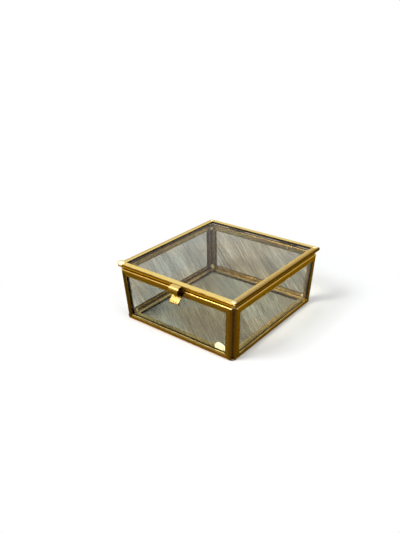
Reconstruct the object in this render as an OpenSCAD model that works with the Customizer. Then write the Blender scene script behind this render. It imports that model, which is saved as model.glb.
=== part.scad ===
// Brass and glass jewelry box with a hinged lid.
// Six clear panes, each edged with four mitred lengths of folded brass channel and soldered together.
// The walls lean out a little towards the top, and the lid overhangs most at the back, above the hinges.
// Millimetres, +Z up. The origin is at the middle of the whole footprint, and the clasp is at the front (-Y).

/* [Body] */
// Outside width of the body at its foot, from left to right
body_w = 101; // [60:1:180]
// Outside depth of the body at its foot, from front to back
body_d = 108; // [60:1:180]
// Height of the four framed walls, measured along their slope
wall_frame_h = 42.5; // [24:0.1:80]
// How far each wall leans out at its top
wall_flare = 2.3; // [0:0.1:3]

/* [Glass] */
// Thickness of every glass pane
glass_t = 2; // [1.6:0.1:3]
// Gap between the edge of a pane and the fold of its channel
glass_gap = 0.2; // [0.1:0.05:0.6]

/* [Brass channel] */
// Thickness of the folded brass sheet
sheet_t = 0.5; // [0.4:0.05:0.7]
// How far the wall and floor channels reach in from their folded edge
came_leg = 4.7; // [3.2:0.1:6]
// How far the lid channel reaches in from its folded edge
lid_leg = 4.7; // [3.2:0.1:7]
// Outside radius of the two bends of a fold, which is no more than the channel's thickness leaves room for
fold_r = 1.4; // [0.7:0.05:1.5]
// Radius filed on the corners of each frame
corner_r = 1.2; // [0.6:0.1:1.3]

/* [Lid] */
// How far the lid reaches past the tops of the front and side walls
lid_overhang = 0.5; // [0.5:0.1:1.1]
// Air gap between the wall frames and the closed lid
lid_gap = 1; // [0.8:0.1:2]

/* [Hinges] */
// Distance between the middles of the two hinges, as a share of the body's width
hinge_spread = 0.5; // [0.38:0.01:0.6]
// Width of each rolled tab on the body
body_tab_w = 4.5; // [3:0.5:8]
// Width of the rolled tab on the lid
lid_tab_w = 6; // [4:0.5:10]
// Side gap between neighbouring tabs
tab_gap = 0.3; // [0.2:0.05:0.6]
// Thickness of the rolled strip
tab_t = 0.45; // [0.4:0.05:0.6]
// Height of the flat part soldered to the back wall
body_tab_h = 2.6; // [1.5:0.1:3]
// Height of the flat part soldered to the back of the lid
lid_tab_h = 2.2; // [2:0.1:2.6]
// Diameter of the hinge pin
pin_d = 1.2; // [1:0.1:1.6]
// Radial running clearance of the lid tab on the pin
pin_play = 0.05; // [0.03:0.01:0.1]
// How far the pin stands out past the tabs at each end
pin_end = 0.6; // [0.3:0.1:1.5]
// Clearance between moving and fixed pieces
move_gap = 0.3; // [0.3:0.05:0.5]

/* [Clasp] */
// Width of the clasp strip
clasp_w = 8; // [5:0.5:14]
// Thickness of the clasp strip
clasp_t = 0.8; // [0.6:0.1:1.2]
// Distance of the clasp to the right of the middle of the front
clasp_shift = 5; // [-20:1:20]
// Outside radius of the rolled nose
nose_r = 3.4; // [2.8:0.1:4.2]
// Outside radius of the small bend that grips the front wall
nip_r = 1.6; // [1.3:0.1:2]
// Length of the thumb tab
thumb_l = 5; // [3:0.5:8]
// Slope of the thumb tab below level, in degrees
thumb_slope = 49; // [30:1:60]
// Radius of the bead rolled on the end of the thumb tab
thumb_bead_r = 0.9; // [0.6:0.1:1.3]
// Drop from the top of the lid to the top of the nose
nose_drop = 0.5; // [0.2:0.1:0.8]
// Gap between the clasp and the front wall
clasp_gap = 0.4; // [0.3:0.05:0.8]

/* [Solder] */
// Depth of the solder to each side of the line where two walls touch
fillet_d = 0.9; // [0.6:0.1:1.2]
// Height of the foot of the solder above the foot of the walls
fillet_foot = 0.5; // [0:0.1:3]
// Radius of the dab of solder that fills the foot of the groove
dab_r = 1.3; // [1:0.1:1.6]
// How far the dab stands out from the middle of the groove, along each wall
dab_out = 0.65; // [0.4:0.05:0.8]
// Height of the top of the dab above the table
dab_top = 2.2; // [1.5:0.1:6]
// Radius of the round solder foot on each corner
foot_r = 1.5; // [1:0.1:2]
// Radius of the solder spot on three of the lid's corners
spot_r = 1.5; // [1.2:0.1:1.6]
// Height of those spots
spot_h = 0.5; // [0.3:0.05:0.7]
// Radius of the large blob of solder on the lid's front left corner
blob_r = 2.2; // [1.8:0.1:2.4]
// How far the blob stands above the lid
blob_h = 0.9; // [0.6:0.05:1.2]

/* [Paper dot] */
// Diameter of the plain paper dot on the front pane
dot_d = 10; // [6:0.5:14]
// Thickness of the dot
dot_t = 0.15; // [0.1:0.05:0.3]
// Gap between the dot and the channel beside it
dot_gap = 0.1; // [0.1:0.1:2]
// Height of the middle of the dot above the channel below it, which covers the rest of the dot
dot_rise = 0.8; // [-2:0.1:5]

/* [Hidden] */
$fn = 64;

brass = [0.78, 0.6, 0.28];
dark_brass = [0.6, 0.44, 0.2];
solder = [0.72, 0.66, 0.5];
clear_glass = [0.66, 0.72, 0.66, 0.35];
cream_paper = [0.98, 0.96, 0.84];

// A hair's breadth: keeps two round faces from only just touching.
eps = 0.01;
// How far a cutting shape runs past what it cuts.
spare = 1;
// Least flat that is left between the two bends of a channel.
least_flat = 0.1;
// Number of sides in the drawn outline of a dome, whose round is much larger than the dome.
dome_sides = 256;

// Thickness of the channel, and the outside radius of its two bends.
came_t = glass_t + 2 * sheet_t;
bend_r = min(fold_r, (came_t - least_flat) / 2);

// Where two walls meet, their round bends touch, which leaves an open groove at the body's corner.
notch = came_t - (2 - sqrt(2)) * bend_r + 2 * eps;
front_w = body_w - 2 * notch;
side_d = body_d - 2 * notch;

// Slope of the walls, and the angle that this adds to a right angle at the foot of each wall frame.
lean = asin(wall_flare / wall_frame_h);
splay = atan(wall_flare / wall_frame_h);

// Heights. The folded foot of each wall, turned by its lean, stands on the table.
wall_z = bend_r * (1 - cos(lean) - sin(lean));
body_top = wall_z + (wall_frame_h - bend_r) * cos(lean) + (came_t - bend_r) * sin(lean) + bend_r;
lid_z = body_top + lid_gap;
lid_top = lid_z + came_t;
flare_y = (body_top - wall_z) * tan(lean);

// The floor frame fits between the walls, whose inner faces lean away from it.
floor_inset = came_t / cos(lean) - (came_t / 2 - wall_z) * tan(lean) + 2 * eps;
floor_w = body_w - 2 * floor_inset;
floor_d = body_d - 2 * floor_inset;

// Clasp, measured outward from the top of the front wall and up: its nose stands straight above the small
// bend that grips the wall, so that the two meet where their middle lines do.
nose_y = lid_top - nose_drop - nose_r;
nip_y = nose_y - (nose_r + nip_r - clasp_t);
nose_x = (nip_r + clasp_gap) / cos(lean) - (body_top - nip_y) * tan(lean);

// Hinge: the rolled tabs sit just behind the top of the back wall, under the lid.
pin_r = pin_d / 2;
barrel_r = pin_r + pin_play + tab_t;

// The body's own middle is set back from the origin, because the clasp reaches further out than the hinges.
mid_y = (nose_x + nose_r - move_gap - 2 * barrel_r) / 2;
front_top_y = mid_y - body_d / 2 - flare_y;
back_top_y = mid_y + body_d / 2 + flare_y;
axis_y = back_top_y + move_gap + barrel_r;
axis_z = lid_z - move_gap - barrel_r;

// Outside of the lid.
lid_back_y = axis_y + barrel_r - tab_t;
lid_front_y = front_top_y - lid_overhang;
lid_w = body_w + 2 * (flare_y + lid_overhang);
lid_d = lid_back_y - lid_front_y;

// ---------- folded channel ----------

// Outline of the channel's section, with its folded edge at x = 0.
module channel_outline(leg) {
    translate([bend_r, 0]) square([leg - bend_r, came_t]);
    translate([0, bend_r]) square([bend_r + eps, came_t - 2 * bend_r]);
    for (y = [bend_r, came_t - bend_r])
        translate([bend_r, y]) circle(bend_r);
}

// Section of the channel, with the slot that holds the glass.
module channel_section(leg) {
    difference() {
        channel_outline(leg);
        translate([sheet_t, sheet_t]) square([leg, glass_t]);
    }
}

// Plan of what is cut from the start of a rail whose frame has this angle at its corner: everything beyond
// the mitre, and what a file takes off the corner.
module corner_cut(angle, leg) {
    deep = leg + spare;
    inset = corner_r - eps;
    middle = [inset / tan(angle / 2), inset];
    polygon([[-2 * spare, -spare], [-2 * spare, deep], [deep / tan(angle / 2), deep], [0, 0]]);
    difference() {
        translate([-spare, -spare]) square([middle[0] + spare, middle[1] + spare]);
        translate(middle) circle(corner_r);
    }
}

// One mitred length of channel: the side of a frame from (0, 0) to (run, 0), with its fold at y = 0.
module rail(run, leg, start_angle, end_angle) {
    difference() {
        rotate([90, 0, 90]) linear_extrude(run) channel_section(leg);
        translate([0, 0, -spare]) linear_extrude(came_t + 2 * spare) {
            corner_cut(start_angle, leg);
            translate([run, 0]) mirror([1, 0]) corner_cut(end_angle, leg);
        }
    }
}

// ---------- frames, seen from outside ----------

// Sides of a frame, counted round it from the bottom: bottom 0, right 1, top 2 and left 3.
function frame_corners(w, h, flare) = [[0, 0], [w, 0], [w + flare, h], [-flare, h]];

// Puts something on side i of a frame that is w wide at the foot, h high, and wider by flare at each end of
// its top.
module on_side(i, w, h, flare) {
    corners = frame_corners(w, h, flare);
    from = corners[i];
    to = corners[(i + 1) % 4];
    translate(from) rotate(atan2(to[1] - from[1], to[0] - from[0])) children();
}

function side_run(i, w, h, flare) = norm(frame_corners(w, h, flare)[(i + 1) % 4] - frame_corners(w, h, flare)[i]);

// Rail on side i of a frame.
module frame_rail(i, w, h, flare, leg) {
    foot = 90 + atan(flare / h);
    head = 90 - atan(flare / h);
    angles = [foot, foot, head, head];
    on_side(i, w, h, flare) rail(side_run(i, w, h, flare), leg, angles[i], angles[(i + 1) % 4]);
}

// The pane inside the same frame.
module pane(w, h, flare) {
    inset = sheet_t + glass_gap;
    side_inset = inset / cos(atan(flare / h));
    low = side_inset - flare * inset / h;
    high = side_inset - flare * (h - inset) / h;
    translate([0, 0, sheet_t]) linear_extrude(glass_t)
        polygon([[low, inset], [w - low, inset], [w - high, h - inset], [high, h - inset]]);
}

// ---------- places of the six frames ----------

// Puts a wall frame on the side of the body that faces turn degrees round from the front, far out from the
// middle at its foot, and leans it out.
module at_wall(turn, w, far) {
    translate([0, mid_y, wall_z]) rotate(turn) translate([0, -far, 0]) rotate([lean, 0, 0])
        translate([-w / 2, came_t, 0]) rotate([90, 0, 0]) children();
}

module at_front() {
    at_wall(0, front_w, body_d / 2) children();
}

module at_right() {
    at_wall(90, side_d, body_w / 2) children();
}

module at_back() {
    at_wall(180, front_w, body_d / 2) children();
}

module at_left() {
    at_wall(270, side_d, body_w / 2) children();
}

module at_floor() {
    translate([-floor_w / 2, mid_y - floor_d / 2, 0]) children();
}

module at_lid() {
    translate([-lid_w / 2, lid_front_y, lid_z]) children();
}

// Rail on side i of a wall frame whose foot is w long, and its pane.
module wall_rail(i, w) {
    frame_rail(i, w, wall_frame_h, wall_flare, came_leg);
}

module wall_pane(w) {
    pane(w, wall_frame_h, wall_flare);
}

// ---------- front wall ----------

module front_top_rail() {
    color(brass) at_front() wall_rail(2, front_w);
}

module front_bottom_rail() {
    color(brass) at_front() wall_rail(0, front_w);
}

module front_left_rail() {
    color(brass) at_front() wall_rail(3, front_w);
}

module front_right_rail() {
    color(brass) at_front() wall_rail(1, front_w);
}

module front_glass() {
    color(clear_glass) at_front() wall_pane(front_w);
}

// ---------- back wall ----------

module back_top_rail() {
    color(brass) at_back() wall_rail(2, front_w);
}

module back_bottom_rail() {
    color(brass) at_back() wall_rail(0, front_w);
}

module back_left_rail() {
    color(brass) at_back() wall_rail(1, front_w);
}

module back_right_rail() {
    color(brass) at_back() wall_rail(3, front_w);
}

module back_glass() {
    color(clear_glass) at_back() wall_pane(front_w);
}

// ---------- left wall ----------

module left_top_rail() {
    color(brass) at_left() wall_rail(2, side_d);
}

module left_bottom_rail() {
    color(brass) at_left() wall_rail(0, side_d);
}

module left_front_rail() {
    color(brass) at_left() wall_rail(1, side_d);
}

module left_back_rail() {
    color(brass) at_left() wall_rail(3, side_d);
}

module left_glass() {
    color(clear_glass) at_left() wall_pane(side_d);
}

// ---------- right wall ----------

module right_top_rail() {
    color(brass) at_right() wall_rail(2, side_d);
}

module right_bottom_rail() {
    color(brass) at_right() wall_rail(0, side_d);
}

module right_front_rail() {
    color(brass) at_right() wall_rail(3, side_d);
}

module right_back_rail() {
    color(brass) at_right() wall_rail(1, side_d);
}

module right_glass() {
    color(clear_glass) at_right() wall_pane(side_d);
}

// ---------- floor ----------

module floor_front_rail() {
    color(brass) at_floor() frame_rail(0, floor_w, floor_d, 0, came_leg);
}

module floor_back_rail() {
    color(brass) at_floor() frame_rail(2, floor_w, floor_d, 0, came_leg);
}

module floor_left_rail() {
    color(brass) at_floor() frame_rail(3, floor_w, floor_d, 0, came_leg);
}

module floor_right_rail() {
    color(brass) at_floor() frame_rail(1, floor_w, floor_d, 0, came_leg);
}

module floor_glass() {
    color(clear_glass) at_floor() pane(floor_w, floor_d, 0);
}

// ---------- lid ----------

module lid_front_rail() {
    color(brass) at_lid() frame_rail(0, lid_w, lid_d, 0, lid_leg);
}

module lid_back_rail() {
    color(brass) at_lid() frame_rail(2, lid_w, lid_d, 0, lid_leg);
}

module lid_left_rail() {
    color(brass) at_lid() frame_rail(3, lid_w, lid_d, 0, lid_leg);
}

module lid_right_rail() {
    color(brass) at_lid() frame_rail(1, lid_w, lid_d, 0, lid_leg);
}

module lid_glass() {
    color(clear_glass) at_lid() pane(lid_w, lid_d, 0);
}

// ---------- hinges ----------

// Extrudes a section drawn in (y, z) about the hinge axis, from x to x + w.
module along_axis(x, w) {
    translate([x, axis_y, axis_z]) rotate([90, 0, 90]) linear_extrude(w) children();
}

// Body tab: a strip soldered flat to the leaning back wall, bent out under the pin and rolled round it
// tightly.
module body_tab(x) {
    web_top = tab_t - barrel_r;
    // The wall's outer face runs down and inward from its top.
    face_top = [-move_gap - barrel_r, body_top - axis_z];
    function face_at(v) = face_top[0] - (face_top[1] - v) * tan(lean);
    foot = web_top - body_tab_h;
    along_axis(x, body_tab_w) difference() {
        union() {
            circle(barrel_r);
            translate([face_at(web_top), -barrel_r]) square([-face_at(web_top), tab_t]);
            translate([face_at(foot), foot]) rotate(-lean) square([tab_t, body_tab_h]);
        }
        circle(pin_r);
        polygon([[face_at(foot), foot], [face_at(web_top), web_top], [face_at(foot) - tab_t, web_top],
            [face_at(foot) - tab_t, foot]]);
    }
}

// Lid tab: a strip soldered flat to the back of the lid and rolled loosely round the pin.
module lid_tab(x) {
    flat_top = lid_z + lid_tab_h - axis_z;
    along_axis(x, lid_tab_w) difference() {
        union() {
            circle(barrel_r);
            translate([barrel_r - tab_t, 0]) square([tab_t, flat_top]);
        }
        circle(pin_r + pin_play);
    }
}

module pin(x) {
    reach = lid_tab_w / 2 + tab_gap + body_tab_w + pin_end;
    translate([x - reach, axis_y, axis_z]) rotate([0, 90, 0]) cylinder(r = pin_r, h = 2 * reach);
}

right_hinge_x = body_w * hinge_spread / 2;
left_hinge_x = -right_hinge_x;
tab_step = lid_tab_w / 2 + tab_gap;

module hinge_left_outer_tab() {
    color(dark_brass) body_tab(left_hinge_x - tab_step - body_tab_w);
}

module hinge_left_inner_tab() {
    color(dark_brass) body_tab(left_hinge_x + tab_step);
}

module hinge_left_lid_tab() {
    color(brass) lid_tab(left_hinge_x - lid_tab_w / 2);
}

module hinge_left_pin() {
    color(dark_brass) pin(left_hinge_x);
}

module hinge_right_outer_tab() {
    color(dark_brass) body_tab(right_hinge_x + tab_step);
}

module hinge_right_inner_tab() {
    color(dark_brass) body_tab(right_hinge_x - tab_step - body_tab_w);
}

module hinge_right_lid_tab() {
    color(brass) lid_tab(right_hinge_x - lid_tab_w / 2);
}

module hinge_right_pin() {
    color(dark_brass) pin(right_hinge_x);
}

// ---------- clasp ----------

// Angle round the small bend at which the thumb tab leaves it.
thumb_angle = 270 - thumb_slope;

// Part of a bent strip between two angles, less than half a turn apart.
module bend(r, from, to) {
    far = 2 * r;
    intersection() {
        difference() {
            circle(r);
            circle(r - clasp_t);
        }
        polygon([[0, 0], far * [cos(from), sin(from)], far * [cos((from + to) / 2), sin((from + to) / 2)],
            far * [cos(to), sin(to)]]);
    }
}

// The side of the clasp, with x outward from the top of the front wall and y up.
module clasp_side() {
    root = nose_x - lid_overhang;
    translate([nose_x, nose_y]) {
        // Flat root against the front of the lid.
        translate([-root, nose_r - clasp_t]) square([root, clasp_t]);
        translate([-root, nose_r - clasp_t - bend_r]) square([clasp_t, bend_r + clasp_t]);
        // Nose, from its top round to where it turns back.
        bend(nose_r, 90, 0);
        bend(nose_r, 0, -90);
    }
    translate([nose_x, nip_y]) {
        // Bend that grips the wall.
        bend(nip_r, 90, 180);
        bend(nip_r, 180, thumb_angle);
        // Thumb tab and its bead.
        rotate(thumb_angle) {
            translate([nip_r - clasp_t, 0]) square([clasp_t, thumb_l]);
            translate([nip_r - clasp_t / 2, thumb_l]) circle(thumb_bead_r);
        }
    }
}

module clasp() {
    color(brass) translate([clasp_shift + clasp_w / 2, front_top_y, 0]) rotate([90, 0, -90])
        linear_extrude(clasp_w) clasp_side();
}

// ---------- solder ----------

// Plain bar with the outline of the channel, along side i of a wall frame: what the solder lies against.
module channel_bar(i, w) {
    on_side(i, w, wall_frame_h, wall_flare) rotate([90, 0, 90])
        linear_extrude(side_run(i, w, wall_frame_h, wall_flare)) channel_outline(came_leg);
}

// Solder that fills the bottom of the groove between the front and left walls and leans out with them. It
// swells into a dab at its foot, and carries a small round foot for the lid on top.
module corner_fillet() {
    inset = (notch + came_t) / 2;
    corner = [inset - body_w / 2, mid_y + inset - body_d / 2];
    lean_out = atan(sqrt(2) * tan(lean));
    room = came_leg + flare_y;
    foot_z = wall_z + fillet_foot;
    difference() {
        union() {
            intersection() {
                translate([corner[0], corner[1], wall_z]) rotate(a = lean_out, v = [1, -1, 0])
                    translate([0, 0, -came_t]) linear_extrude(wall_frame_h + 2 * came_t)
                        rotate(45) square(2 * fillet_d, center = true);
                translate([corner[0] - room, corner[1] - room, foot_z])
                    cube([2 * room, 2 * room, body_top - foot_z]);
            }
            translate([corner[0] - dab_out, corner[1] - dab_out, foot_z])
                cylinder(r = dab_r, h = dab_top - foot_z);
        }
        at_front() channel_bar(3, front_w);
        at_front() channel_bar(0, front_w);
        at_left() channel_bar(1, side_d);
        at_left() channel_bar(0, side_d);
    }
    translate([corner[0] - flare_y, corner[1] - flare_y, body_top])
        cylinder(r = foot_r, h = lid_gap - move_gap);
}

// Puts the front left fillet, flipped left to right or front to back where a flip is 1, on another corner.
module flipped_fillet(flip_x, flip_y) {
    translate([0, mid_y, 0]) mirror([flip_x, 0, 0]) mirror([0, flip_y, 0]) translate([0, -mid_y, 0])
        corner_fillet();
}

module corner_solder_front_left() {
    color(solder) corner_fillet();
}

module corner_solder_front_right() {
    color(solder) flipped_fillet(1, 0);
}

module corner_solder_back_left() {
    color(solder) flipped_fillet(0, 1);
}

module corner_solder_back_right() {
    color(solder) flipped_fillet(1, 1);
}

// Low dome of solder, r wide and h high, with its foot at z = 0.
module dome(r, h) {
    cap_r = (r * r + h * h) / (2 * h);
    rotate_extrude() intersection() {
        translate([0, h - cap_r]) circle(cap_r, $fn = dome_sides);
        square([2 * r, 2 * h]);
    }
}

// Puts something on the flat of the lid's channel, over the mitre at one corner.
module at_lid_corner(sx, sy, inset) {
    lid_mid_y = (lid_front_y + lid_back_y) / 2;
    translate([sx * (lid_w / 2 - inset), lid_mid_y + sy * (lid_d / 2 - inset), lid_top]) children();
}

spot_inset = (bend_r + lid_leg) / 2;

module lid_solder_front_left() {
    color(solder) at_lid_corner(-1, -1, bend_r + blob_r / sqrt(2)) dome(blob_r, blob_h);
}

module lid_solder_front_right() {
    color(solder) at_lid_corner(1, -1, spot_inset) dome(spot_r, spot_h);
}

module lid_solder_back_left() {
    color(solder) at_lid_corner(-1, 1, spot_inset) dome(spot_r, spot_h);
}

module lid_solder_back_right() {
    color(solder) at_lid_corner(1, 1, spot_inset) dome(spot_r, spot_h);
}

// ---------- paper dot ----------

module paper_dot() {
    side_edge = front_w - came_leg / cos(splay);
    dot_y = came_leg + dot_rise;
    dot_x = side_edge + wall_flare * dot_y / wall_frame_h - dot_gap - dot_d / 2;
    color(cream_paper) at_front() translate([0, 0, sheet_t - dot_t]) intersection() {
        translate([dot_x, dot_y, 0]) cylinder(d = dot_d, h = dot_t);
        translate([dot_x - dot_d, came_leg, -dot_t]) cube([2 * dot_d, 2 * dot_d, 3 * dot_t]);
    }
}

front_top_rail();
front_bottom_rail();
front_left_rail();
front_right_rail();
front_glass();
back_top_rail();
back_bottom_rail();
back_left_rail();
back_right_rail();
back_glass();
left_top_rail();
left_bottom_rail();
left_front_rail();
left_back_rail();
left_glass();
right_top_rail();
right_bottom_rail();
right_front_rail();
right_back_rail();
right_glass();
floor_front_rail();
floor_back_rail();
floor_left_rail();
floor_right_rail();
floor_glass();
lid_front_rail();
lid_back_rail();
lid_left_rail();
lid_right_rail();
lid_glass();
hinge_left_outer_tab();
hinge_left_inner_tab();
hinge_left_lid_tab();
hinge_left_pin();
hinge_right_outer_tab();
hinge_right_inner_tab();
hinge_right_lid_tab();
hinge_right_pin();
clasp();
corner_solder_front_left();
corner_solder_front_right();
corner_solder_back_left();
corner_solder_back_right();
lid_solder_front_left();
lid_solder_front_right();
lid_solder_back_left();
lid_solder_back_right();
paper_dot();
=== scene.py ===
"""Brass and glass jewelry box: finishes for its channels and panes, hand-laid solder, and a small studio."""

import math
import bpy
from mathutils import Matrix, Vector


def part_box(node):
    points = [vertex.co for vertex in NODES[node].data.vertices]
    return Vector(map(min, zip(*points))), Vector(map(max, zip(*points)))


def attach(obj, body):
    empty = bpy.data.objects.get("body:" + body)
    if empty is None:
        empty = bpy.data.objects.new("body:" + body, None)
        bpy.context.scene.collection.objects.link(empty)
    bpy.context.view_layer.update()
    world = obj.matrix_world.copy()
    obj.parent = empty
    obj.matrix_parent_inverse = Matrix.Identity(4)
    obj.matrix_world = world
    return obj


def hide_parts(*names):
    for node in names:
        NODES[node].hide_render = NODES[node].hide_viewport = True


bl_info = {
    "name": "Glass Jewelry Box",
    "version": (1, 0, 0),
    "blender": (4, 5, 0),
    "location": "3D View > Sidebar > Glass Box",
    "description": "Finishes and solder details for a hinged box of glass panes in brass channel",
    "category": "Object",
}

from collections import namedtuple

import bmesh
import bpy
from bpy.props import FloatProperty, FloatVectorProperty, PointerProperty
from mathutils import Quaternion, Vector, noise

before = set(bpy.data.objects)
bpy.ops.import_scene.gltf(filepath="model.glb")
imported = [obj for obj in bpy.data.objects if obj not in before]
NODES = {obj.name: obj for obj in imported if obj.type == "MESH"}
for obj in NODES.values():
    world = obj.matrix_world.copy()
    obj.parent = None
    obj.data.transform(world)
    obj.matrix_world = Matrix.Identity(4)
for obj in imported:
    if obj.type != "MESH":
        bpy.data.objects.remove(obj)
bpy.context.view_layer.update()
MM = 0.001
X, Y, Z = range(3)

# ---------- the box's pieces ----------

WALLS = ("front", "back", "left", "right")
CORNERS = ("front_left", "front_right", "back_left", "back_right")
HINGE_PARTS = ("outer_tab", "inner_tab", "lid_tab", "pin")
SIDES = {
    "front": ("top", "bottom", "left", "right"),
    "back": ("top", "bottom", "left", "right"),
    "left": ("top", "bottom", "front", "back"),
    "right": ("top", "bottom", "front", "back"),
    "floor": ("front", "back", "left", "right"),
    "lid": ("front", "back", "left", "right"),
}

# The two axes of each framed pane's plane, and for a wall the axis and the sign of its outer side.
PLANES = {"lid": (X, Y), "floor": (X, Y), "front": (X, Z), "back": (X, Z), "left": (Y, Z), "right": (Y, Z)}
OUTWARD = {"front": (Y, -1), "back": (Y, 1), "left": (X, -1), "right": (X, 1)}
# A framed pane as outline_of() measures it.
Outline = namedtuple("Outline", "across along half middle lean outward")

# How widely filing and handling have broken the sharp edges, in metres.
RAIL_EDGE = 0.00012
HINGE_EDGE = 0.00008
CLASP_EDGE = 0.00015
SHARP_ANGLE = 35.0

# ---------- how the brass was finished, and the light and shade painted into it ---

# Painted light and shade: the bright part of the brass differs a little from rail to rail. It is paler as a
# painted reflection on some rails, deeper as painted shade on the sides away from the light, and dimmer where
# a lamp's glint is toned down.
TONES = {
    "plain": (1.0, 1.0, 1.0),
    "pale": (0.92, 1.0, 1.25),
    "deep": (0.52, 0.48, 0.33),
    "lighting_and_wear": (0.66, 0.64, 0.74),
    "amber": (0.62, 0.52, 0.36),
    "dim": (0.34, 0.32, 0.25),
}
PANEL_TONES = {"floor": "pale", "right": "deep", "left": "deep"}
RAIL_TONES = {
    "lid_right_rail": "lighting_and_wear",
    "lid_left_rail": "pale",
    "lid_back_rail": "pale",
    "back_top_rail": "dim",
    "front_top_rail": "amber",
}
CLASP_TONE = (0.92, 0.84, 0.72)
# Painted shade: rails whose flat is painted darker, and how dark.
PAINTED_SHADE_RAILS = {"front_left_rail": 0.8, "right_back_rail": 0.5, "right_bottom_rail": 0.45}
# Brass stays yellow where it is seen edge on.
EDGE_TINT = (0.90, 0.66, 0.28)
# The dark and the light of the lines that drawing left on the channel.
STREAKS = ((0.25, 0.22, 0.18), (1.0, 0.9, 0.7))

# Painted light: how far a surface looks up, from -1 to 1, and the colour painted there. Faces that look up
# are lighter, the crests of folds carry a painted highlight, upright faces carry painted shade and
# reflection, and faces that look down carry painted bounce light.
WALL_PAINTED_LIGHT = ((-1.0, "under"), (-0.4, "under"), (-0.12, "antique"), (0.10, "antique"), (0.36, "half"),
               (0.62, "crest"), (0.90, "bright"))
LID_PAINTED_LIGHT = ((-1.0, "antique"), (-0.75, "dark"), (-0.40, "under"), (0.0, "under"), (0.22, "dark"),
              (0.68, "dark"), (0.82, "half"), (0.94, "crest"), (1.0, "bright"))
CLASP_PAINTED_LIGHT = ((-1.0, "dark"), (-0.5, "antique"), (0.0, "antique"), (0.45, "half"), (0.80, "crest"),
                (1.0, "bright"))
HINGE_PAINTED_LIGHT = ((-1.0, "dark"), (-0.3, "antique"), (0.1, "under"), (0.5, "half"), (0.9, "crest"))

# Bands of the channel, each as the start and the end of a soft step, in millimetres in from the edge.
GROOVE = (0.0, 0.7)
ROLL = (0.3, 1.9)
POST_SHADE = (0.4, 3.6)
FLAT = (1.0, 2.2)
BESIDE_GLASS = (2.4, 4.4)
CREASE = ((2.9, 3.15), (3.35, 3.55))
LIP = (3.95, 4.25)
# How near a mitre the solder has flowed, and how wide the joint itself is, in millimetres.
FLOW = (0.3, 1.1)
SEAM = (0.05, 0.16)

# How deep the relief of each finish is, in metres.
RELIEF = {
    "dents": 0.00045,
    "lines": 0.00004,
    "strip": 0.00006,
    "solder": 0.00012,
    "groove": 0.00015,
    "paper": 0.00003,
}

# ---------- the panes and the paper dot ----------

# The way each pane was wiped, how strongly its streaks show, and the shade of its glass. The streaks are
# partly wiping marks and partly painted reflections and shadows, and the floor pane's bluer shade is a
# painted reflection.
PANES = {
    "lid": ((1, -0.75, 0), 0.20, (1.0, 1.0, 1.0)),
    "floor": ((1, -0.9, 0), 0.20, (1.01, 1.06, 1.12)),
    "front": ((0.55, 0, -1), 0.26, (1.0, 1.0, 1.0)),
    "back": ((0.8, 0, -1), 0.40, (1.0, 1.0, 0.97)),
    "left": ((0, 0.6, -1), 0.30, (1.0, 1.02, 1.02)),
    "right": ((0, 0.75, -1), 0.30, (1.0, 1.0, 0.98)),
}
# Each pane drifts a little between these two casts.
COOL_GLASS = (0.95, 1.0, 1.0)
WARM_GLASS = (1.0, 0.965, 0.88)
# Its reflections are kept faint, so that the channel behind it shows.
GLASS_IOR = 1.16
GLASS_GLINT = (0.3, 0.3, 0.3)
# How clear a pane is to a lamp, so that the inside of the box is lit.
PANE_SHADE = (0.90, 0.90, 0.87)
PAPER_STAIN = (0.90, 0.83, 0.62)
PAPER_FIBRE = (1.0, 0.99, 0.93)
PAPER_GLOW = 0.6

# ---------- the solder, in millimetres ----------

BRIGHT_SOLDER = (0.95, 0.88, 0.62)
FLUX = (0.30, 0.19, 0.06)
# Lumps in the inside corners: how far the top ones are below the walls' top and the foot ones above the
# table, their radii, how much taller than wide they are, and how far in from the corner they sit.
TOP_LUMP = (3.4, 1.25)
FOOT_LUMP = (5.2, 1.5)
LUMP_STRETCH = 1.3
LUMP_REACH = 3.3
# How close the waves and the ripples of a lump are, and how far the waves swell it.
LUMP_WAVES = 1.6
LUMP_RIPPLES = 4.1
LUMP_SWELL = 0.28
# Solder behind the right hinge: place across, depth below the walls' top, and three radii. The middle of
# each stands this far off the rail.
HINGE_SPILLS = ((27.0, 2.5, (0.55, 0.45, 1.5)), (31.5, 0.9, (0.95, 0.6, 0.8)))
SPILL_PROUD = 0.1
# Solder over the lid's mitres, a large blob and three spots: how far out and how far down each sits, its
# three radii, and the seed of its unevenness.
LID_LUMPS = {
    "front_left": (0.6, 0.0, (3.4, 3.0, 1.65), 5.0),
    "front_right": (0.2, 0.15, (1.75, 1.6, 0.75), 3.7),
    "back_left": (0.2, 0.15, (1.75, 1.6, 0.75), 7.4),
    "back_right": (0.2, 0.15, (1.75, 1.6, 0.75), 11.1),
}

# ---------- the studio, in metres ----------

# What the camera looks at, the nearest that it sees, and its sensor in millimetres.
VIEW_MIDDLE = (-0.02842, 0.01148, 0.0250)
CLIP_START = 0.01
SENSOR_WIDTH = 36.0
LAMP_TARGET = (0.0, 0.0, 0.02)
# Each lamp's place, its width and its power in watts.
LAMPS = {"key_lamp": ((-0.30, -0.60, 0.80), 0.50, 8.0), "fill_lamp": ((0.70, -0.10, 0.60), 0.60, 3.0)}
FLOOR_REACH = 2.5
# How far from the middle of the box the floor starts and ends its fade to white, in millimetres.
FLOOR_FADE = (80.0, 190.0)
FLOOR_GRAIN = (0.9, 0.9, 0.9)
WHITE = (1.0, 1.0, 1.0)
SOFT_SKY = (0.95, 0.97, 1.0)
SOFT_SKY_LEVEL = 0.55


def rails_of(panel):
    return ["%s_%s_rail" % (panel, side) for side in SIDES[panel]]


def box_of(names):
    """Lowest and highest corner of several solids, in metres."""
    corners = [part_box(name) for name in names]
    low = Vector([min(c[0][i] for c in corners) for i in range(3)])
    high = Vector([max(c[1][i] for c in corners) for i in range(3)])
    return low, high


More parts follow.
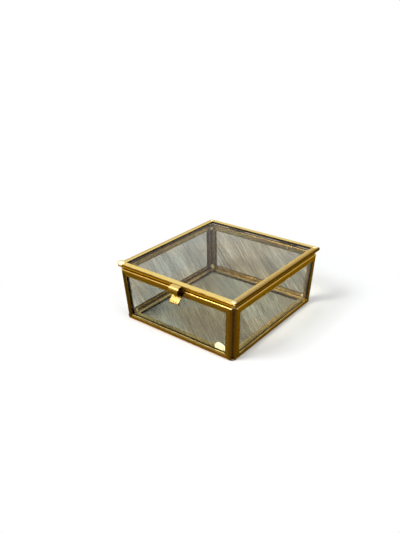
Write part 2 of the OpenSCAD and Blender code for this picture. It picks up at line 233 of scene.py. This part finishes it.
def outline_of(panel):
    """Measures a framed pane in its plane, in millimetres: its half sizes, its middle and its lean.

    lean is how much the half size across shrinks for each millimetre down from the top. outward is the axis
    and the sign that a wall faces, and None for a flat panel.
    """
    across, along = PLANES[panel]
    low, high = box_of(rails_of(panel))
    half = [(high[i] - low[i]) / 2 / MM for i in (across, along)]
    middle = [(high[i] + low[i]) / 2 / MM for i in (across, along)]
    lean = 0.0
    if panel in WALLS:
        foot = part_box(panel + "_bottom_rail")[1]
        lean = (high[across] - foot[across]) / (high[Z] - foot[Z])
    return Outline(across, along, half, middle, lean, OUTWARD.get(panel))


# ---------- settings ----------


class BrassSettings(bpy.types.PropertyGroup):
    # Painted light: the faces that look up are painted lighter.
    bright: FloatVectorProperty(name="Polished brass", description="Colour of the faces that look up",
                                subtype="COLOR", default=(0.82, 0.66, 0.29), min=0, max=1)
    # Painted highlight along the crests of the folds.
    crest: FloatVectorProperty(name="Worn crest", description="Colour where handling has polished a fold",
                               subtype="COLOR", default=(0.84, 0.62, 0.25), min=0, max=1)
    # Painted shade and reflection on the faces that stand upright.
    antique: FloatVectorProperty(name="Antiqued brass", description="Colour of the faces that stand upright",
                                 subtype="COLOR", default=(0.125, 0.066, 0.006), min=0, max=1)
    # Painted bounce light on the faces that look down.
    under: FloatVectorProperty(name="Undersides", description="Colour of the faces that look down",
                               subtype="COLOR", default=(0.34, 0.165, 0.012), min=0, max=1)
    # Painted light: the channel's faces inside the box are painted lighter.
    inside: FloatVectorProperty(name="Inside faces", description="Colour of the channel inside the box",
                                subtype="COLOR", default=(0.62, 0.48, 0.18), min=0, max=1)
    # Colour of the brown film, also used as painted shade beside the glass, in the corner grooves, on the
    # posts and on the shaded rails.
    tarnish_and_shade: FloatVectorProperty(name="Tarnish", description="Colour of the brown film on the brass",
                                 subtype="COLOR", default=(0.040, 0.018, 0.004), min=0, max=1)
    tarnish_amount: FloatProperty(name="Tarnish amount", description="How strongly the film shows",
                                  subtype="FACTOR", default=0.5, min=0, max=1)
    gloss: FloatProperty(name="Roughness", description="Roughness of the clean brass", subtype="FACTOR",
                         default=0.24, min=0.05, max=0.8)


class GlassSettings(bpy.types.PropertyGroup):
    # The tint is darker than clear glass, partly the glass's own smoke and partly painted shade for what is
    # seen through it.
    tint: FloatVectorProperty(name="Glass", description="Tint of one pane", subtype="COLOR",
                              default=(0.60, 0.575, 0.53), min=0, max=1)
    smear: FloatProperty(name="Smears", description="How far the streaks blur the surface", subtype="FACTOR",
                         default=0.05, min=0, max=0.4)


class SolderSettings(bpy.types.PropertyGroup):
    base: FloatVectorProperty(name="Solder", description="Colour of the brass-washed solder", subtype="COLOR",
                              default=(0.88, 0.78, 0.48), min=0, max=1)
    lump: FloatProperty(name="Lump", description="Unevenness of the hand-laid solder", default=0.00018, min=0,
                        max=0.0006, unit="LENGTH")


class PaperSettings(bpy.types.PropertyGroup):
    base: FloatVectorProperty(name="Paper", description="Colour of the paper dot", subtype="COLOR",
                              default=(0.99, 0.96, 0.76), min=0, max=1)


class StudioSettings(bpy.types.PropertyGroup):
    floor: FloatVectorProperty(name="Floor", description="Colour of the floor", subtype="COLOR",
                               default=(0.86, 0.86, 0.85), min=0, max=1)
    distance: FloatProperty(name="Camera distance", description="From the camera to the middle of its view",
                            default=0.45686, min=0.2, max=2, unit="LENGTH")
    azimuth: FloatProperty(name="Camera azimuth", description="Turned from the front towards the right side",
                           default=math.radians(38.852), subtype="ANGLE")
    elevation: FloatProperty(name="Camera elevation", description="Above level", subtype="ANGLE",
                             default=math.radians(25.416))
    roll: FloatProperty(name="Camera roll", description="Tilt of the horizon", default=math.radians(-0.97),
                        subtype="ANGLE")
    lens: FloatProperty(name="Lens", description="Focal length in millimetres on a 36 mm sensor",
                        default=37.786, min=10, max=200)


def settings(kind):
    return getattr(bpy.context.scene, "glass_box_" + kind)


# ---------- shader building ----------


class Wire:
    """A socket of a node tree that can be used in arithmetic."""

    def __init__(self, graph, socket):
        self.graph = graph
        self.socket = socket

    def _math(self, operation, *values):
        return self.graph.node("ShaderNodeMath", {"operation": operation}, dict(enumerate(values)))

    def __add__(self, other):
        return self._math("ADD", self, other)

    __radd__ = __add__

    def __sub__(self, other):
        return self._math("SUBTRACT", self, other)

    def __rsub__(self, other):
        return self._math("SUBTRACT", other, self)

    def __mul__(self, other):
        return self._math("MULTIPLY", self, other)

    __rmul__ = __mul__

    def __lt__(self, other):
        return self._math("LESS_THAN", self, other)

    def __abs__(self):
        return self._math("ABSOLUTE", self)

    def clamp(self):
        return self._math("MINIMUM", self._math("MAXIMUM", self, 0.0), 1.0)

    def least(self, other):
        return self._math("MINIMUM", self, other)

    def rise(self, start, end):
        """0 below start, 1 above end, and smooth between them."""
        return self.graph.node(
            "ShaderNodeMapRange", {"interpolation_type": "SMOOTHSTEP"},
            {"Value": self, "From Min": start, "From Max": end, "To Min": 0.0, "To Max": 1.0})

    def fall(self, start, end):
        return 1 - self.rise(start, end)

    def part(self, name):
        """Another output of the same node."""
        return Wire(self.graph, self.socket.node.outputs[name])


class Graph:
    """The node tree of one material or world."""

    def __init__(self, owner):
        self.owner = owner
        owner.use_nodes = True
        self.tree = owner.node_tree
        self.tree.nodes.clear()

    def node(self, kind, setup=None, values=None):
        """Adds a node, sets it up, feeds its sockets, and returns its first live output."""
        made = self.tree.nodes.new(kind)
        for key, value in (setup or {}).items():
            if key == "ramp":
                self._ramp(made.color_ramp, value)
            else:
                setattr(made, key, value)
        for key, value in (values or {}).items():
            self.feed(self._socket(made, key), value)
        outputs = [o for o in made.outputs if o.enabled]
        return Wire(self, outputs[0]) if outputs else made

    @staticmethod
    def _socket(made, key):
        if isinstance(key, int):
            return made.inputs[key]
        return [s for s in made.inputs if s.name == key and s.enabled][0]

    def feed(self, socket, value):
        if isinstance(value, Wire):
            self.tree.links.new(value.socket, socket)
        elif socket.type == "RGBA" and len(value) == 3:
            socket.default_value = (*value, 1.0)
        else:
            socket.default_value = value

    @staticmethod
    def _ramp(ramp, stops):
        while len(ramp.elements) < len(stops):
            ramp.elements.new(0.5)
        for element, (place, colour) in zip(ramp.elements, stops):
            element.position = place
            element.color = (*colour, 1.0)

    def place(self):
        """Object position in millimetres."""
        return self.vector("SCALE", self.node("ShaderNodeTexCoord").part("Object"), scale=1 / MM)

    def facing(self):
        """Which way the surface faces, as three parts in the object's own axes."""
        return self.split(self.node("ShaderNodeTexCoord").part("Normal"))

    def split(self, vector):
        """The three parts of a vector."""
        parts = self.node("ShaderNodeSeparateXYZ", None, {0: vector})
        return [parts.part(axis) for axis in "XYZ"]

    def seen(self):
        """1 for a ray from the camera, off gloss or through glass, and 0 for one that lights a surface."""
        ray = self.node("ShaderNodeLightPath")
        kinds = ray.part("Is Camera Ray") + ray.part("Is Glossy Ray") + ray.part("Is Transmission Ray")
        return kinds.clamp()

    def ramp(self, factor, stops):
        return self.node("ShaderNodeValToRGB", {"ramp": stops}, {0: factor})

    def vector(self, operation, first, second=None, scale=None):
        values = {0: first}
        if second is not None:
            values[1] = second
        if scale is not None:
            values["Scale"] = scale
        return self.node("ShaderNodeVectorMath", {"operation": operation}, values)

    def cloud(self, vector, scale, detail, roughness):
        """Soft noise, about scale lumps to a millimetre."""
        return self.node("ShaderNodeTexNoise", {"noise_dimensions": "3D"},
                         {"Vector": vector, "Scale": scale, "Detail": detail, "Roughness": roughness})

    def blend(self, factor, first, second, mode="MIX"):
        return self.node("ShaderNodeMix", {"data_type": "RGBA", "blend_type": mode, "clamp_factor": True},
                         {"Factor": factor, "A": first, "B": second})

    def bump(self, height, distance, strength, normal=None):
        values = {"Height": height, "Distance": distance, "Strength": strength}
        if normal is not None:
            values["Normal"] = normal
        return self.node("ShaderNodeBump", None, values)

    def principled(self, values):
        return self.node("ShaderNodeBsdfPrincipled", None, values)

    def mixed(self, factor, first, second):
        return self.node("ShaderNodeMixShader", None, {0: factor, 1: first, 2: second})

    def finish(self, shader, output="ShaderNodeOutputMaterial"):
        self.node(output, None, {"Surface": shader})
        return self.owner

    def finish_metal(self, colour, roughness, normal):
        return self.finish(self.principled({"Base Color": colour, "Metallic": 1.0, "Roughness": roughness,
                                            "Normal": normal, "Specular Tint": EDGE_TINT}))


# ---------- finishes ----------


def new_graph(name):
    """The node tree of a new material."""
    return Graph(bpy.data.materials.new(name))


def drawing_lines(graph, spot, axis, fine, long):
    """Lines left by drawing the metal along one axis, fine across it and long along it."""
    stretch = [fine] * 3
    stretch[axis] = long
    return graph.cloud(graph.vector("MULTIPLY", spot, tuple(stretch)), 1.0, 4.0, 0.65)


def antiqued(graph, spot, drawn, finish, tone):
    """Colour of the brass with light and shade painted in by how far the surface looks up: lighter on top,
    painted shade on upright faces. tone tints the bright part.
    """
    chosen = settings("brass")
    up = graph.facing()[Z]
    patches = graph.cloud(spot, 0.13, 5.0, 0.62)
    turned = (up + (patches - 0.5) * 0.20 + (drawn - 0.5) * 0.16) * 0.5 + 0.5
    shades = {"antique": tuple(chosen.antique), "dark": tuple(c * 0.55 for c in chosen.antique)}
    for name in ("bright", "crest", "under"):
        shades[name] = tuple(c * t for c, t in zip(getattr(chosen, name), tone))
    shades["half"] = tuple((a * b) ** 0.5 for a, b in zip(shades["bright"], shades["antique"]))
    metal = graph.ramp(turned, [(level * 0.5 + 0.5, shades[name]) for level, name in finish])
    return metal, up, patches


def insets(outline, parts):
    """How far in a point is from the outer edge of the nearer post and of the nearer rail, in millimetres.

    The posts are the two lengths of channel that run along the frame, and the rails the two across it.
    """
    down = outline.half[1] + outline.middle[1] - parts[outline.along]
    from_post = outline.half[0] - down * outline.lean - abs(parts[outline.across] - outline.middle[0])
    from_rail = outline.half[1] - abs(parts[outline.along] - outline.middle[1])
    return from_post, from_rail


def folded_brass(name, outline, tone, painted_shade):
    """Brass channel of a framed pane, with light and shade painted into its colour. tone tints its bright
    part, and painted_shade is how dark its flat is painted as shade.
    """
    chosen = settings("brass")
    tarnish_and_shade = tuple(chosen.tarnish_and_shade)
    graph = new_graph(name)
    spot = graph.place()
    parts = graph.split(spot)
    from_post, from_rail = insets(outline, parts)
    upright = from_post < from_rail
    depth = from_post.least(from_rail)
    mitre = abs(from_post - from_rail)

    drawn = (upright * drawing_lines(graph, spot, outline.along, 4.0, 0.06)
             + (1 - upright) * drawing_lines(graph, spot, outline.across, 4.0, 0.06))
    blotches = graph.cloud(graph.vector("ADD", spot, (31.0, 7.0, 13.0)), 0.6, 4.0, 0.6)
    specks = graph.cloud(spot, 2.6, 2.0, 0.5)
    metal, up, patches = antiqued(graph, spot, drawn, WALL_PAINTED_LIGHT if outline.outward else LID_PAINTED_LIGHT, tone)
    flat = abs(up).fall(0.3, 0.6)

    # Painted light: the faces that a wall's channel turns to the inside of the box are painted a lighter
    # yellow.
    inside = 0.0
    low_rail = 0.0
    if outline.outward:
        axis, sign = outline.outward
        inside = (graph.facing()[axis] * -sign).rise(0.3, 0.7) * flat
        low_rail = (parts[outline.along] < outline.middle[1]) * (1 - upright)
        metal = graph.blend(inside * (0.75 + 0.25 * drawn.rise(0.3, 0.6)), metal, tuple(chosen.inside))

    # Painted shade: the flat is darkest beside the glass, the rolled fold is painted in the underside colour,
    # and the posts darken towards their outer edge. Painted highlights, partly wear, brighten the crease and
    # the lip here and there.
    rolled = depth.fall(*ROLL) * flat * (1 - upright)
    metal = graph.blend(rolled * 0.55 * drawn.rise(0.3, 0.7), metal, tuple(chosen.under))
    metal = graph.blend(upright * depth.fall(*POST_SHADE) * 0.55, metal, tarnish_and_shade)
    metal = graph.blend(depth.rise(*BESIDE_GLASS) * flat * 0.45, metal, tarnish_and_shade)
    # Painted shade: on some rails the flat is darkened further.
    if painted_shade:
        metal = graph.blend(depth.rise(*FLAT) * flat * painted_shade, metal, tuple(c * 0.5 for c in tarnish_and_shade))
    crease = depth.rise(*CREASE[0]) * depth.fall(*CREASE[1]) * flat * low_rail * drawn.rise(0.3, 0.6)
    lip = depth.rise(*LIP) * (flat * (low_rail * 0.7 + 0.15) + up.rise(0.9, 0.97) * 0.7)
    lighting_and_wear = lip * (0.55 + 0.45 * patches.rise(0.42, 0.6)) + crease * 0.45
    metal = graph.blend(lighting_and_wear.clamp(), metal, tuple(chosen.bright))

    # A brown film lies in patches over it. It is painted thinner on what looks up and on the inside faces,
    # which is painted light, and on the walls it is laid thicker in the groove at the posts' outer edge as
    # painted shade.
    film = (blotches.rise(0.50, 0.70) * 0.6 + specks.rise(0.60, 0.72) * 0.5
            + patches.rise(0.55, 0.75) * 0.3).clamp()
    if outline.outward:
        film = (film + from_post.fall(*GROOVE) * 0.5).clamp()
    film = film * (1 - up.rise(0.3, 0.8) * 0.65) * (1 - inside * 0.7)
    metal = graph.blend(film * chosen.tarnish_amount, metal, tarnish_and_shade)

    # The drawing lines darken and lighten it all.
    streaks = graph.blend((drawn - 0.5) * 1.2 + 0.5, *STREAKS)
    metal = graph.blend(0.5 - inside * 0.35, metal, streaks, "OVERLAY")

    # A little solder has flowed along each mitre, and the joint itself stays as a fine dark line.
    flow = (mitre + (blotches - 0.5) * 2.4).fall(*FLOW)
    metal = graph.blend(flow * 0.35 * up.rise(0.0, 0.7), metal, tuple(settings("solder").base))
    seam = mitre.fall(*SEAM)
    metal = graph.blend(seam * 0.7, metal, tarnish_and_shade)

    roughness = (chosen.gloss + film * 0.26 + (drawn - 0.5) * 0.22 + flow * 0.05).clamp()
    height = drawn * 0.35 + specks * 0.12 + flow * 0.9 - seam * 1.4
    dented = graph.bump(graph.cloud(spot, 0.16, 2.0, 0.4), RELIEF["dents"], 0.55)
    normal = graph.bump(height * (1 - inside * 0.6), RELIEF["lines"], 0.6, dented)
    return graph.finish_metal(metal, roughness, normal)


def strip_brass(name, axis, finish, tone=TONES["plain"]):
    """Brass strip drawn along one axis, for the clasp and the hinge pieces, with light and shade painted in
    as on the channel, and painted shade on its sides.
    """
    chosen = settings("brass")
    graph = new_graph(name)
    spot = graph.place()
    drawn = drawing_lines(graph, spot, axis, 5.0, 0.3)
    pits = graph.cloud(spot, 3.0, 2.0, 0.5)
    blotches = graph.cloud(spot, 0.7, 4.0, 0.6)
    metal, up, patches = antiqued(graph, spot, drawn, finish, tone)
    film = (blotches.rise(0.48, 0.72) * 0.6 + pits.rise(0.6, 0.72) * 0.4).clamp()
    # Painted shade on the faces that look along X, the sides of the clasp and tabs, mixed with the brown
    # film.
    painted_side_shade = abs(graph.facing()[X]).rise(0.6, 0.9)
    metal = graph.blend((film * 0.5 + painted_side_shade * 0.7).clamp(), metal, tuple(chosen.tarnish_and_shade))
    roughness = (chosen.gloss + film * 0.25 + (drawn - 0.5) * 0.2).clamp()
    normal = graph.bump(drawn * 0.4 + pits * 0.3 + patches, RELIEF["strip"], 0.7)
    return graph.finish_metal(metal, roughness, normal)


def solder_metal(name):
    """Bright brass-washed solder with pooled flux."""
    graph = new_graph(name)
    spot = graph.place()
    pools = graph.cloud(spot, 0.8, 4.0, 0.6)
    grain = graph.cloud(spot, 5.0, 3.0, 0.6)
    flux = (pools.rise(0.52, 0.7) * 0.5 + grain.rise(0.6, 0.7) * 0.4).clamp()
    metal = graph.blend(pools, tuple(settings("solder").base), BRIGHT_SOLDER)
    metal = graph.blend(flux * 0.6, metal, FLUX)
    normal = graph.bump(pools * 0.8 + grain * 0.25, RELIEF["solder"], 0.8)
    return graph.finish_metal(metal, 0.26 + flux * 0.3 + grain * 0.12, normal)


def groove_solder(name, top):
    """Solder in the corner grooves: painted almost black along each as painted shade, and brightened at its
    two ends, partly bright solder and partly a painted highlight.
    """
    chosen = settings("brass")
    graph = new_graph(name)
    spot = graph.place()
    height = graph.split(spot)[Z]
    pools = graph.cloud(spot, 0.7, 4.0, 0.6)
    grain = graph.cloud(spot, 4.0, 3.0, 0.6)
    # The ends are brightened, partly bright solder and partly a painted highlight.
    ends = (height.fall(0.8, 2.0) * 0.45 + height.rise(top - 1.6, top - 0.4)).clamp()
    metal = graph.blend(pools.rise(0.45, 0.70) * 0.5, tuple(chosen.tarnish_and_shade), tuple(chosen.antique))
    metal = graph.blend(ends * pools.rise(0.34, 0.55) * 0.75, metal, tuple(settings("solder").base))
    normal = graph.bump(pools * 0.8 + grain * 0.25, RELIEF["groove"], 0.8)
    return graph.finish_metal(metal, 0.42 + grain * 0.25 - ends * 0.15, normal)


def pane_glass(name, way, contrast, tint, seed):
    """Smoky glass with fine slanting streaks running that way, partly left by wiping and partly painted
    reflections and shadows. seed shifts them on each pane.
    """
    graph = new_graph(name)
    spot = graph.place()
    run = tuple(Vector(way).normalized())
    moved = graph.vector("ADD", spot, (seed * 17.0, seed * 5.0, seed * 11.0))
    along = graph.vector("DOT_PRODUCT", moved, run).part("Value")
    squeezed = graph.vector("SUBTRACT", moved, graph.vector("SCALE", run, scale=along * 0.96))
    fine = graph.cloud(squeezed, 0.85, 4.0, 0.72)
    broad = graph.cloud(squeezed, 0.085, 2.0, 0.5)
    drift = graph.cloud(spot, 0.022, 1.0, 0.5)
    dust = graph.cloud(spot, 1.6, 2.0, 0.5)
    veil = (broad.rise(0.42, 0.62) * 0.4 + fine.rise(0.44, 0.56) * 0.6).clamp()
    colour = graph.blend(veil, tuple(tint * (1 - 0.9 * contrast)), tuple(tint * (1 + contrast)))
    colour = graph.blend(1.0, colour, graph.blend(drift.rise(0.38, 0.62), COOL_GLASS, WARM_GLASS), "MULTIPLY")
    colour = graph.blend(dust.rise(0.66, 0.76) * 0.25, colour, tuple(tint * 1.4))
    glass = graph.principled({
        "Base Color": colour, "Transmission Weight": 1.0, "IOR": GLASS_IOR, "Specular Tint": GLASS_GLINT,
        "Roughness": 0.01 + veil * settings("glass").smear})
    clear = graph.node("ShaderNodeBsdfTransparent", None, {"Color": PANE_SHADE})
    lamp_ray = graph.node("ShaderNodeLightPath").part("Is Shadow Ray")
    return graph.finish(graph.mixed(lamp_ray, glass, clear))


def dot_paper(name):
    """Cream paper with a little fibre and stain. It glows faintly, because the pane before it dims it."""
    graph = new_graph(name)
    spot = graph.place()
    fibre = graph.cloud(graph.vector("MULTIPLY", spot, (6.0, 1.0, 14.0)), 1.0, 4.0, 0.6)
    stain = graph.cloud(spot, 0.5, 3.0, 0.5)
    colour = graph.blend(stain.rise(0.45, 0.8) * 0.35, tuple(settings("paper").base), PAPER_STAIN)
    colour = graph.blend(fibre * 0.12, colour, PAPER_FIBRE)
    normal = graph.bump(fibre, RELIEF["paper"], 0.6)
    return graph.finish(graph.principled({
        "Base Color": colour, "Roughness": 0.55 + fibre * 0.2, "Normal": normal,
        "Emission Color": colour, "Emission Strength": PAPER_GLOW}))


def floor_paint(name):
    """Pale floor that holds the object's shadow and fades to plain white away from it."""
    graph = new_graph(name)
    spot = graph.place()
    grain = graph.cloud(spot, 0.02, 3.0, 0.5)
    colour = graph.blend(grain * 0.15, tuple(settings("studio").floor), FLOOR_GRAIN)
    paint = graph.principled({"Base Color": colour, "Roughness": 0.9})
    white = graph.node("ShaderNodeEmission", None, {"Color": WHITE, "Strength": 1.0})
    away = graph.vector("LENGTH", spot).part("Value").rise(*FLOOR_FADE)
    return graph.finish(graph.mixed(away * graph.seen(), paint, white))


def studio_sky(name):
    """Plain white wherever it is seen, and a soft light on the object."""
    graph = Graph(bpy.data.worlds.new(name))
    soft = graph.node("ShaderNodeBackground", None, {"Color": SOFT_SKY, "Strength": SOFT_SKY_LEVEL})
    white = graph.node("ShaderNodeBackground", None, {"Color": WHITE, "Strength": 1.0})
    return graph.finish(graph.mixed(graph.seen(), soft, white), "ShaderNodeOutputWorld")


# ---------- pieces ----------


def dress(names, material):
    for name in names:
        solid = NODES[name]
        solid.data.materials.clear()
        solid.data.materials.append(material)


def soften(names, width, segments=2):
    """Breaks the sharp edges of sheet and strip, as filing and handling do."""
    for name in names:
        edge = NODES[name].modifiers.new("broken edges", "BEVEL")
        edge.width = width
        edge.segments = segments
        edge.limit_method = "ANGLE"
        edge.angle_limit = math.radians(SHARP_ANGLE)


def new_piece(name, maker, material, body):
    """A mesh made by maker(work), dressed and riding on a body."""
    mesh = bpy.data.meshes.new(name)
    work = bmesh.new()
    maker(work)
    bmesh.ops.recalc_face_normals(work, faces=work.faces)
    for face in work.faces:
        face.smooth = True
    work.to_mesh(mesh)
    work.free()
    piece = bpy.data.objects.new(name, mesh)
    bpy.context.scene.collection.objects.link(piece)
    piece.data.materials.append(material)
    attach(piece, body)
    return piece


def solder_lump(centre, radii, seed):
    """Maker of one uneven round lump of solder, its centre in metres and its three radii in millimetres."""
    def maker(work):
        ripple_size = settings("solder").lump
        for vert in bmesh.ops.create_icosphere(work, subdivisions=4, radius=1.0)["verts"]:
            way = vert.co.normalized()
            wave = noise.noise(way * LUMP_WAVES + Vector((seed, seed * 0.7, 3.1)))
            ripple = noise.noise(way * LUMP_RIPPLES + Vector((seed * 2.0, 1.3, seed)))
            swell = 1.0 + wave * LUMP_SWELL
            place = Vector(centre) + Vector([way[i] * radii[i] * MM * swell for i in range(3)])
            vert.co = place + way * ripple * ripple_size * 2.0
    return maker


# ---------- operators ----------


class GLASSBOX_OT_channels(bpy.types.Operator):
    """Finish the folded brass channel round every pane"""

    bl_idname = "glassbox.channels"
    bl_label = "Brass channels"

    def execute(self, context):
        for panel in PLANES:
            outline = outline_of(panel)
            for rail in rails_of(panel):
                tone = TONES[RAIL_TONES.get(rail, PANEL_TONES.get(panel, "plain"))]
                dress([rail], folded_brass(rail + "_brass", outline, tone, PAINTED_SHADE_RAILS.get(rail, 0.0)))
            soften(rails_of(panel), RAIL_EDGE)
        return {"FINISHED"}


class GLASSBOX_OT_panes(bpy.types.Operator):
    """Make the panes smoky glass with fine slanting streaks"""

    bl_idname = "glassbox.panes"
    bl_label = "Glass panes"

    def execute(self, context):
        for seed, (panel, (way, contrast, shade)) in enumerate(PANES.items()):
            tint = Vector([c * s for c, s in zip(settings("glass").tint, shade)])
            dress([panel + "_glass"], pane_glass(panel + "_pane_glass", way, contrast, tint, seed))
        return {"FINISHED"}


class GLASSBOX_OT_hinges(bpy.types.Operator):
    """Finish the rolled tabs and pins of the hinges"""

    bl_idname = "glassbox.hinges"
    bl_label = "Hinges"

    def execute(self, context):
        tab = strip_brass("hinge_tab_brass", Z, HINGE_PAINTED_LIGHT)
        pin = strip_brass("hinge_pin_brass", X, HINGE_PAINTED_LIGHT)
        for side in ("left", "right"):
            for part in HINGE_PARTS:
                name = "hinge_%s_%s" % (side, part)
                dress([name], pin if part == "pin" else tab)
                soften([name], HINGE_EDGE)
        return {"FINISHED"}


class GLASSBOX_OT_clasp(bpy.types.Operator):
    """Finish the rolled clasp strip"""

    bl_idname = "glassbox.clasp"
    bl_label = "Clasp"

    def execute(self, context):
        dress(["clasp"], strip_brass("clasp_brass", Z, CLASP_PAINTED_LIGHT, CLASP_TONE))
        soften(["clasp"], CLASP_EDGE, 3)
        return {"FINISHED"}


class GLASSBOX_OT_corner_solder(bpy.types.Operator):
    """Finish the solder in the corner grooves, and add the lumps and spills of solder inside the box"""

    bl_idname = "glassbox.corner_solder"
    bl_label = "Corner solder"

    def execute(self, context):
        names = ["corner_solder_" + corner for corner in CORNERS]
        dress(names, groove_solder("corner_groove_solder", box_of(names)[1].z / MM))
        pale = solder_metal("inner_solder_metal")
        low, high = box_of([rail for wall in WALLS for rail in rails_of(wall)])
        self.lumps(low, high, pale)
        self.spills(high.z, pale)
        return {"FINISHED"}

    @staticmethod
    def lumps(low, high, metal):
        """A lump bridges the two walls near the top and near the foot of each corner."""
        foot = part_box("front_bottom_rail")[1]
        lean = (high.x - foot[X]) / (high.z - foot[Z])
        middle = (low + high) / 2
        ends = (("top", high.z - TOP_LUMP[0] * MM, TOP_LUMP[1]), ("foot", FOOT_LUMP[0] * MM, FOOT_LUMP[1]))
        for seed, corner in enumerate(CORNERS):
            right = 1 if "right" in corner else -1
            back = 1 if "back" in corner else -1
            for where, height, size in ends:
                reach = (high.z - height) * lean + LUMP_REACH * MM
                centre = (middle.x + right * (high.x - middle.x - reach),
                          middle.y + back * (high.y - middle.y - reach), height)
                maker = solder_lump(centre, (size, size, size * LUMP_STRETCH), seed * 2.3 + height * 100)
                new_piece("solder_lump_%s_%s" % (where, corner), maker, metal, "box")

    @staticmethod
    def spills(top, metal):
        """Solder has run through behind the right hinge, as a short bar and a drop on the rail."""
        inner_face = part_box("back_top_rail")[0][Y]
        for seed, (across, below, radii) in enumerate(HINGE_SPILLS):
            centre = (across * MM, inner_face - SPILL_PROUD * MM, top - below * MM)
            maker = solder_lump(centre, radii, 7.0 + seed)
            new_piece("solder_spill_%d" % (seed + 1), maker, metal, "box")


class GLASSBOX_OT_lid_solder(bpy.types.Operator):
    """Lay uneven lumps of solder over the lid's mitres"""

    bl_idname = "glassbox.lid_solder"
    bl_label = "Lid solder"

    def execute(self, context):
        metal = solder_metal("lid_solder_metal")
        for corner, (out, down, radii, seed) in LID_LUMPS.items():
            name = "lid_solder_" + corner
            low, high = (Vector(c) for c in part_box(name))
            middle = (low + high) / 2
            centre = middle + Vector((math.copysign(1, middle.x), math.copysign(1, middle.y), 0)) * out * MM
            centre.z = low.z - down * MM
            maker = solder_lump(centre, radii, seed)
            lump = new_piece("solder_lump_lid_" + corner, maker, metal, "lid")
            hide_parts(name)
        return {"FINISHED"}


class GLASSBOX_OT_paper_dot(bpy.types.Operator):
    """Finish the plain paper dot inside the front pane"""

    bl_idname = "glassbox.paper_dot"
    bl_label = "Paper dot"

    def execute(self, context):
        dress(["paper_dot"], dot_paper("paper_dot_paper"))
        return {"FINISHED"}


class GLASSBOX_OT_studio(bpy.types.Operator):
    """Set the floor, the lamps, the background and the camera"""

    bl_idname = "glassbox.studio"
    bl_label = "Studio"

    def execute(self, context):
        scene = context.scene
        self.floor()
        for name, (place, width, power) in LAMPS.items():
            self.lamp(name, Vector(place), width, power)
        scene.world = studio_sky("studio_world")
        scene.camera = self.camera()
        scene.view_settings.view_transform = "Standard"
        return {"FINISHED"}

    @staticmethod
    def add(name, data):
        """Puts an object in the scene."""
        made = bpy.data.objects.new(name, data)
        bpy.context.scene.collection.objects.link(made)
        return made

    def floor(self):
        mesh = bpy.data.meshes.new("studio_floor")
        work = bmesh.new()
        bmesh.ops.create_grid(work, x_segments=8, y_segments=8, size=FLOOR_REACH)
        work.to_mesh(mesh)
        work.free()
        floor = self.add("studio_floor", mesh)
        floor.data.materials.append(floor_paint("studio_floor_paint"))

    def lamp(self, name, place, width, power):
        """A round lamp that looks at the box."""
        data = bpy.data.lights.new(name, "AREA")
        data.shape = "DISK"
        data.size = width
        data.energy = power
        lamp = self.add(name, data)
        lamp.location = place
        lamp.rotation_euler = (place - Vector(LAMP_TARGET)).to_track_quat("Z", "Y").to_euler()

    def camera(self):
        chosen = settings("studio")
        data = bpy.data.cameras.new("studio_camera")
        data.sensor_width = SENSOR_WIDTH
        data.lens = chosen.lens
        data.clip_start = CLIP_START
        camera = self.add("studio_camera", data)
        level = math.cos(chosen.elevation)
        back = Vector((math.sin(chosen.azimuth) * level, -math.cos(chosen.azimuth) * level,
                       math.sin(chosen.elevation)))
        camera.location = Vector(VIEW_MIDDLE) + back * chosen.distance
        camera.rotation_euler = (back.to_track_quat("Z", "Y") @ Quaternion((0, 0, 1), chosen.roll)).to_euler()
        return camera


OPERATORS = (GLASSBOX_OT_channels, GLASSBOX_OT_panes, GLASSBOX_OT_hinges, GLASSBOX_OT_clasp,
             GLASSBOX_OT_corner_solder, GLASSBOX_OT_lid_solder, GLASSBOX_OT_paper_dot, GLASSBOX_OT_studio)
GROUPS = {"brass": BrassSettings, "glass": GlassSettings, "solder": SolderSettings, "paper": PaperSettings,
          "studio": StudioSettings}


class GLASSBOX_PT_sidebar(bpy.types.Panel):
    """Lists the box's settings and the steps that finish it"""

    bl_idname = "GLASSBOX_PT_sidebar"
    bl_label = "Glass Box"
    bl_space_type = "VIEW_3D"
    bl_region_type = "UI"
    bl_category = "Glass Box"

    def draw(self, context):
        for operator in OPERATORS:
            self.layout.operator(operator.bl_idname)
        for kind, group in GROUPS.items():
            column = self.layout.column(heading=kind.capitalize())
            for name in group.__annotations__:
                column.prop(settings(kind), name)


def register():
    for group in GROUPS.values():
        bpy.utils.register_class(group)
    for kind, group in GROUPS.items():
        setattr(bpy.types.Scene, "glass_box_" + kind, PointerProperty(type=group))
    for shown in (*OPERATORS, GLASSBOX_PT_sidebar):
        bpy.utils.register_class(shown)


def unregister():
    for shown in reversed((*OPERATORS, GLASSBOX_PT_sidebar)):
        bpy.utils.unregister_class(shown)
    for kind in GROUPS:
        delattr(bpy.types.Scene, "glass_box_" + kind)
    for group in GROUPS.values():
        bpy.utils.unregister_class(group)


def main():
    register()
    bpy.ops.glassbox.channels()
    bpy.ops.glassbox.panes()
    bpy.ops.glassbox.hinges()
    bpy.ops.glassbox.clasp()
    bpy.ops.glassbox.corner_solder()
    bpy.ops.glassbox.lid_solder()
    bpy.ops.glassbox.paper_dot()
    bpy.ops.glassbox.studio()


if __name__ == "__main__":
    main()
